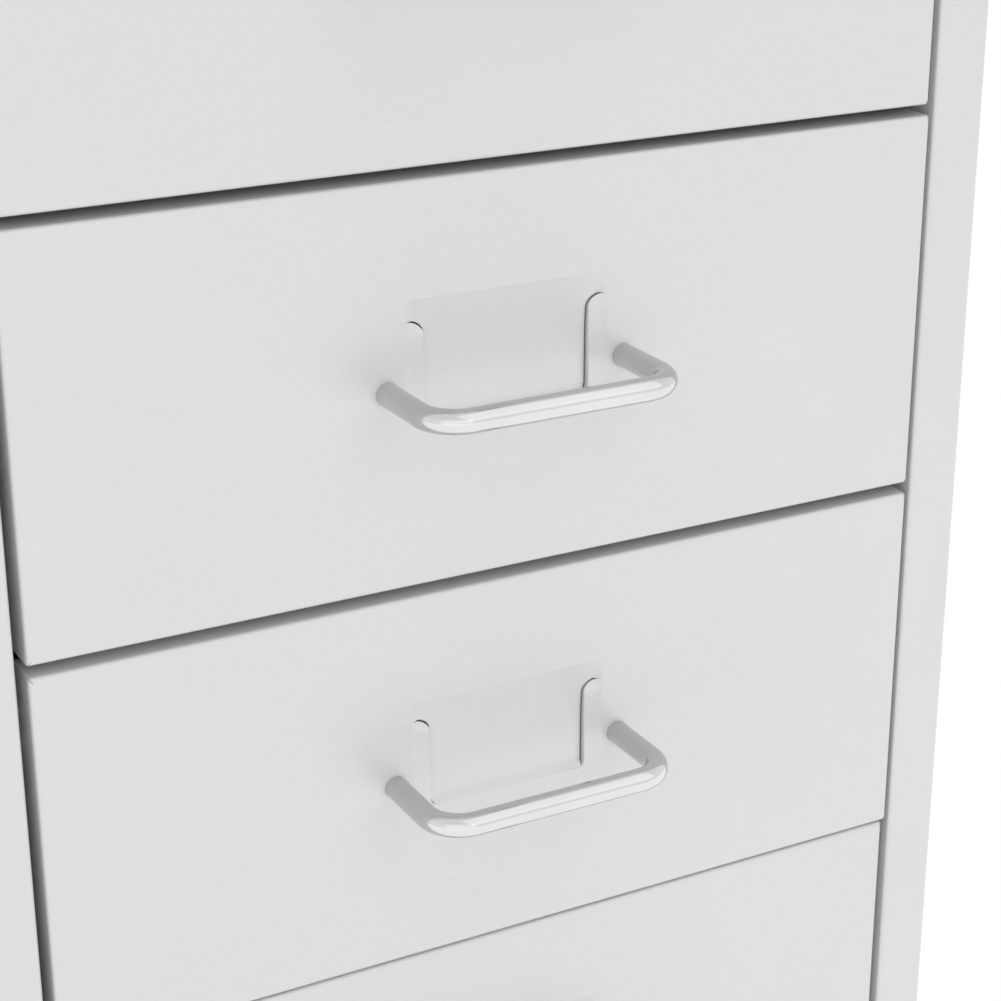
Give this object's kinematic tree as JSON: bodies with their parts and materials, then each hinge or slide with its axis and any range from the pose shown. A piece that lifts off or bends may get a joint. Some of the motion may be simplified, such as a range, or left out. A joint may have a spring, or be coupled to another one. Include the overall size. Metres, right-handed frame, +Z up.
{
  "type": "metal drawer cabinet",
  "caption": "Narrow cabinet of folded sheet steel on twin-wheel swivel castors, with drawers that have bent-rod handles and pressed-in label pockets.",
  "frame": {"origin": "on the floor under the middle of the whole cabinet, handles and screw heads included", "axes": "+Z up, the drawers open towards -Y, +X to the right seen from the front"},
  "size_m": [0.28, 0.4612, 0.69],
  "materials": {
    "case_paint": "silver-grey metallic powder coat, satin",
    "drawer_paint": "silver-grey metallic powder coat, satin",
    "runner_steel": "galvanised, dull",
    "nickel": "satin nickel plate",
    "zinc": "bright zinc plate",
    "nylon": "natural nylon",
    "castor_plastic": "black moulded nylon",
    "wheel_plastic": "black moulded nylon, smooth tread"
  },
  "bodies": {
    "cabinet": {"side_panel_left": "case_paint", "side_panel_right": "case_paint", "top_panel": "case_paint", "base_panel": "case_paint", "back_panel": "case_paint", "runner_rack_left": "runner_steel", "runner_rack_right": "runner_steel", "runner_glides": "nylon", "back_screws": "zinc", "castor_nuts": "zinc", "castor_stem_front_left": "zinc", "castor_stem_front_right": "zinc", "castor_stem_rear_left": "zinc", "castor_stem_rear_right": "zinc"},
    "drawer_1": {"drawer_front_1": "drawer_paint", "drawer_tray_1": "drawer_paint", "drawer_handle_1": "nickel", "handle_screws_1": "zinc", "drawer_glides_1": "nylon"},
    "drawer_2": {"drawer_front_2": "drawer_paint", "drawer_tray_2": "drawer_paint", "drawer_handle_2": "nickel", "handle_screws_2": "zinc", "drawer_glides_2": "nylon"},
    "drawer_3": {"drawer_front_3": "drawer_paint", "drawer_tray_3": "drawer_paint", "drawer_handle_3": "nickel", "handle_screws_3": "zinc", "drawer_glides_3": "nylon"},
    "drawer_4": {"drawer_front_4": "drawer_paint", "drawer_tray_4": "drawer_paint", "drawer_handle_4": "nickel", "handle_screws_4": "zinc", "drawer_glides_4": "nylon"},
    "drawer_5": {"drawer_front_5": "drawer_paint", "drawer_tray_5": "drawer_paint", "drawer_handle_5": "nickel", "handle_screws_5": "zinc", "drawer_glides_5": "nylon"},
    "drawer_6": {"drawer_front_6": "drawer_paint", "drawer_tray_6": "drawer_paint", "drawer_handle_6": "nickel", "handle_screws_6": "zinc", "drawer_glides_6": "nylon"},
    "castor_front_left": {"castor_hood_front_left": "castor_plastic", "castor_axle_front_left": "zinc"},
    "wheel_left_front_left": {"wheel_left_front_left": "wheel_plastic"},
    "wheel_right_front_left": {"wheel_right_front_left": "wheel_plastic"},
    "castor_front_right": {"castor_hood_front_right": "castor_plastic", "castor_axle_front_right": "zinc"},
    "wheel_left_front_right": {"wheel_left_front_right": "wheel_plastic"},
    "wheel_right_front_right": {"wheel_right_front_right": "wheel_plastic"},
    "castor_rear_left": {"castor_hood_rear_left": "castor_plastic", "castor_axle_rear_left": "zinc"},
    "wheel_left_rear_left": {"wheel_left_rear_left": "wheel_plastic"},
    "wheel_right_rear_left": {"wheel_right_rear_left": "wheel_plastic"},
    "castor_rear_right": {"castor_hood_rear_right": "castor_plastic", "castor_axle_rear_right": "zinc"},
    "wheel_left_rear_right": {"wheel_left_rear_right": "wheel_plastic"},
    "wheel_right_rear_right": {"wheel_right_rear_right": "wheel_plastic"}
  },
  "joints": [
    {"name": "drawer_1_slide", "type": "slide", "parent": "cabinet", "child": "drawer_1", "axis": [0, -1, 0], "range_m": [0, 0.327]},
    {"name": "drawer_2_slide", "type": "slide", "parent": "cabinet", "child": "drawer_2", "axis": [0, -1, 0], "range_m": [0, 0.327]},
    {"name": "drawer_3_slide", "type": "slide", "parent": "cabinet", "child": "drawer_3", "axis": [0, -1, 0], "range_m": [0, 0.327]},
    {"name": "drawer_4_slide", "type": "slide", "parent": "cabinet", "child": "drawer_4", "axis": [0, -1, 0], "range_m": [0, 0.327]},
    {"name": "drawer_5_slide", "type": "slide", "parent": "cabinet", "child": "drawer_5", "axis": [0, -1, 0], "range_m": [0, 0.327]},
    {"name": "drawer_6_slide", "type": "slide", "parent": "cabinet", "child": "drawer_6", "axis": [0, -1, 0], "range_m": [0, 0.327]},
    {"name": "castor_front_left_swivel", "type": "hinge", "parent": "cabinet", "child": "castor_front_left", "pos_m": [-0.098, -0.1596, 0.04], "axis": [0, 0, 1], "continuous": true},
    {"name": "wheel_left_front_left_roll", "type": "hinge", "parent": "castor_front_left", "child": "wheel_left_front_left", "pos_m": [-0.098, -0.1396, 0.02], "axis": [1, 0, 0], "continuous": true},
    {"name": "wheel_right_front_left_roll", "type": "hinge", "parent": "castor_front_left", "child": "wheel_right_front_left", "pos_m": [-0.098, -0.1396, 0.02], "axis": [1, 0, 0], "continuous": true},
    {"name": "castor_front_right_swivel", "type": "hinge", "parent": "cabinet", "child": "castor_front_right", "pos_m": [0.098, -0.1596, 0.04], "axis": [0, 0, 1], "continuous": true},
    {"name": "wheel_left_front_right_roll", "type": "hinge", "parent": "castor_front_right", "child": "wheel_left_front_right", "pos_m": [0.098, -0.1396, 0.02], "axis": [1, 0, 0], "continuous": true},
    {"name": "wheel_right_front_right_roll", "type": "hinge", "parent": "castor_front_right", "child": "wheel_right_front_right", "pos_m": [0.098, -0.1396, 0.02], "axis": [1, 0, 0], "continuous": true},
    {"name": "castor_rear_left_swivel", "type": "hinge", "parent": "cabinet", "child": "castor_rear_left", "pos_m": [-0.098, 0.1864, 0.04], "axis": [0, 0, 1], "continuous": true},
    {"name": "wheel_left_rear_left_roll", "type": "hinge", "parent": "castor_rear_left", "child": "wheel_left_rear_left", "pos_m": [-0.098, 0.2064, 0.02], "axis": [1, 0, 0], "continuous": true},
    {"name": "wheel_right_rear_left_roll", "type": "hinge", "parent": "castor_rear_left", "child": "wheel_right_rear_left", "pos_m": [-0.098, 0.2064, 0.02], "axis": [1, 0, 0], "continuous": true},
    {"name": "castor_rear_right_swivel", "type": "hinge", "parent": "cabinet", "child": "castor_rear_right", "pos_m": [0.098, 0.1864, 0.04], "axis": [0, 0, 1], "continuous": true},
    {"name": "wheel_left_rear_right_roll", "type": "hinge", "parent": "castor_rear_right", "child": "wheel_left_rear_right", "pos_m": [0.098, 0.2064, 0.02], "axis": [1, 0, 0], "continuous": true},
    {"name": "wheel_right_rear_right_roll", "type": "hinge", "parent": "castor_rear_right", "child": "wheel_right_rear_right", "pos_m": [0.098, 0.2064, 0.02], "axis": [1, 0, 0], "continuous": true}
  ]
}
